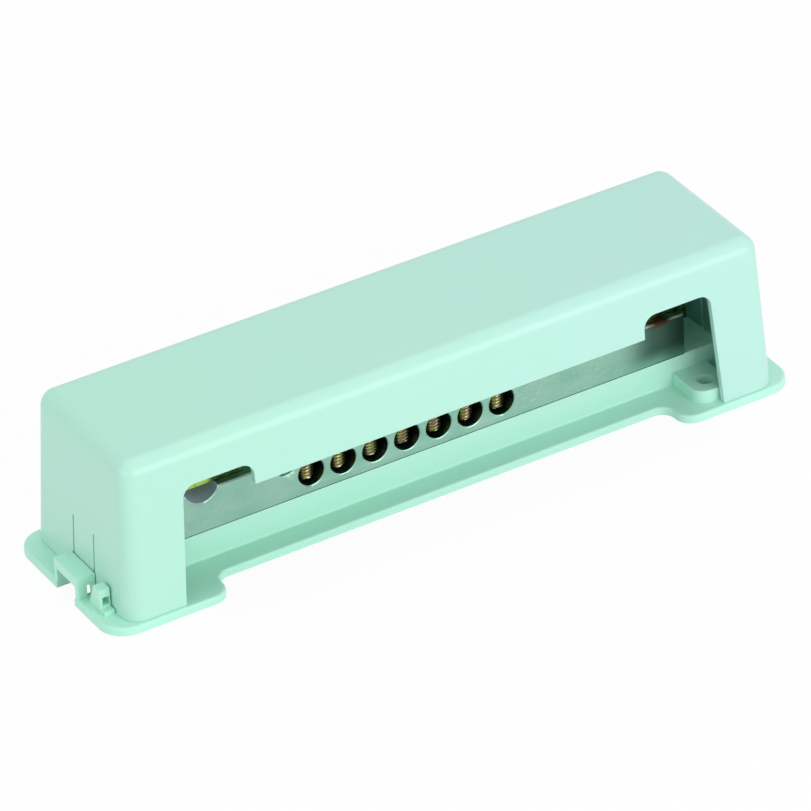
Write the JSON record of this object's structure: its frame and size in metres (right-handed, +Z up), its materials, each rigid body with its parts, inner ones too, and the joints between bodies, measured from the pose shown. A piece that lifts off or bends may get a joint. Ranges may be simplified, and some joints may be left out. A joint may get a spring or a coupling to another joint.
{
  "type": "earth terminal bar",
  "caption": "Long earth terminal bar: a drilled metal bar with clamp screws and strap clamps on a moulded foot, under a clip-on hood with an open front.",
  "frame": {"origin": "middle of the underside of the foot", "axes": "+X along the bar, -Y the open front where the conductors enter, +Z up from the mounting surface"},
  "size_m": [0.216, 0.0556, 0.0496],
  "materials": {
    "foot_plastic": "satin moulded polystyrene",
    "hood_plastic": "satin moulded polystyrene",
    "bar_metal": "nickel plated, drawn",
    "screw_steel": "yellow passivated zinc",
    "strap_steel": "passivated zinc"
  },
  "bodies": {
    "root": {"foot": "foot_plastic", "bar": "bar_metal", "hood": "hood_plastic", "round_strap": "strap_steel", "flat_strap": "strap_steel", "hold_screw_1": "screw_steel", "hold_screw_2": "screw_steel", "front_screw_1": "screw_steel", "front_screw_2": "screw_steel", "front_screw_3": "screw_steel", "front_screw_4": "screw_steel", "front_screw_5": "screw_steel", "front_screw_6": "screw_steel", "front_screw_7": "screw_steel", "rear_screw_1": "screw_steel", "rear_screw_2": "screw_steel", "rear_screw_3": "screw_steel", "rear_screw_4": "screw_steel", "rear_screw_5": "screw_steel", "rear_screw_6": "screw_steel", "rear_screw_7": "screw_steel", "strap_screw_1": "screw_steel", "strap_screw_2": "screw_steel", "strap_screw_3": "screw_steel", "strap_screw_4": "screw_steel", "spring_washer_1": "screw_steel", "spring_washer_2": "screw_steel", "spring_washer_3": "screw_steel", "spring_washer_4": "screw_steel"}
  },
  "joints": []
}
